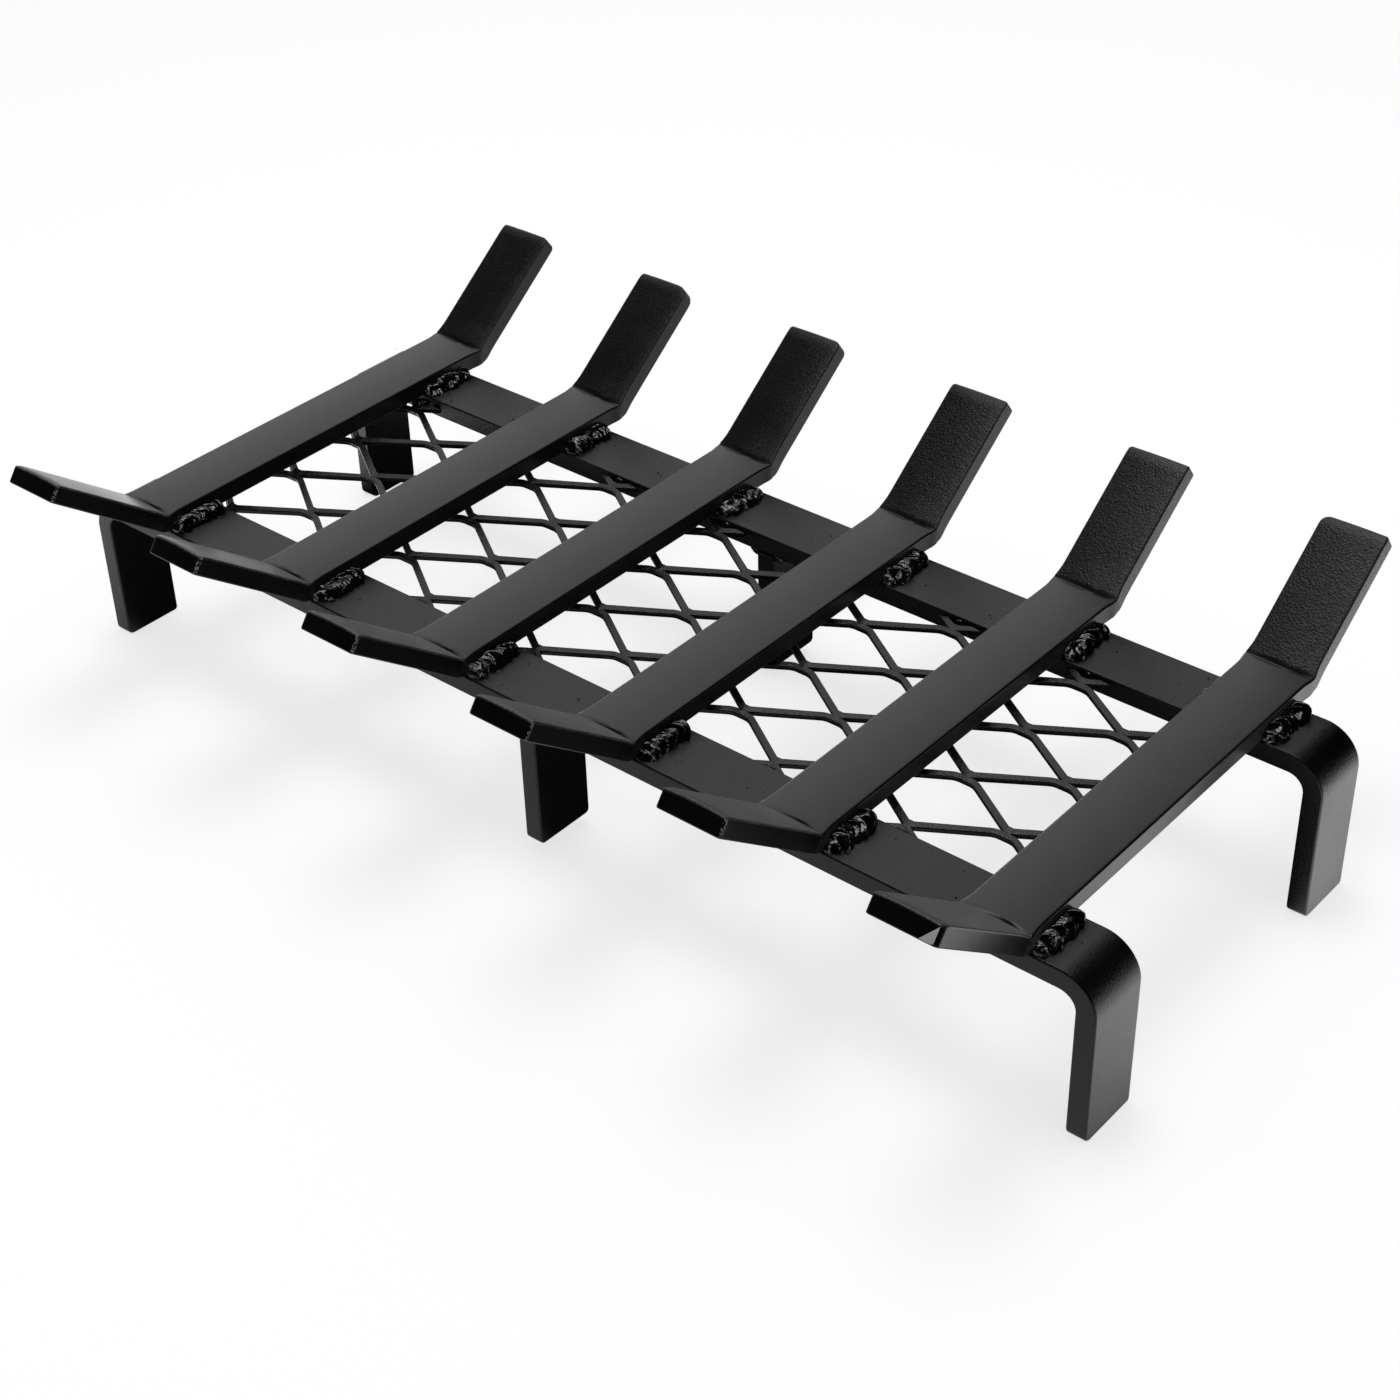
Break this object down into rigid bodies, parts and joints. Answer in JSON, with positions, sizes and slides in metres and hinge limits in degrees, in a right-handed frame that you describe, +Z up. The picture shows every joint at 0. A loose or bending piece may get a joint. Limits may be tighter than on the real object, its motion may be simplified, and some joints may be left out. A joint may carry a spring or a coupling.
{
  "type": "log grate",
  "caption": "Fireplace log grate of bent flat bars on two rails that turn down into legs, with an expanded ember mesh between the rails.",
  "frame": {"origin": "on the floor, under the middle of the whole grate's box", "axes": "+X along the rails toward the viewer's right, +Y from the front of the grate to its back, +Z up"},
  "size_m": [0.7, 0.4056, 0.1598],
  "materials": {
    "frame": "satin black stove paint on hot-rolled flat bar",
    "log_bars": "satin black stove paint on flat bar, lightly pebbled",
    "ember_mesh": "satin black paint on raised expanded steel",
    "welds": "glossier black paint over rippled weld beads"
  },
  "bodies": {
    "root": {"front_rail": "frame", "rear_rail": "frame", "front_middle_leg": "frame", "rear_middle_leg": "frame", "log_bar_1": "log_bars", "log_bar_2": "log_bars", "log_bar_3": "log_bars", "log_bar_4": "log_bars", "log_bar_5": "log_bars", "log_bar_6": "log_bars", "ember_mesh": "ember_mesh", "weld_front_bar_1": "welds", "weld_front_bar_2": "welds", "weld_front_bar_3": "welds", "weld_front_bar_4": "welds", "weld_front_bar_5": "welds", "weld_front_bar_6": "welds", "weld_rear_bar_1": "welds", "weld_rear_bar_2": "welds", "weld_rear_bar_3": "welds", "weld_rear_bar_4": "welds", "weld_rear_bar_5": "welds", "weld_rear_bar_6": "welds", "weld_front_middle_leg": "welds", "weld_rear_middle_leg": "welds", "mesh_tacks_front": "welds", "mesh_tacks_rear": "welds"}
  },
  "joints": []
}
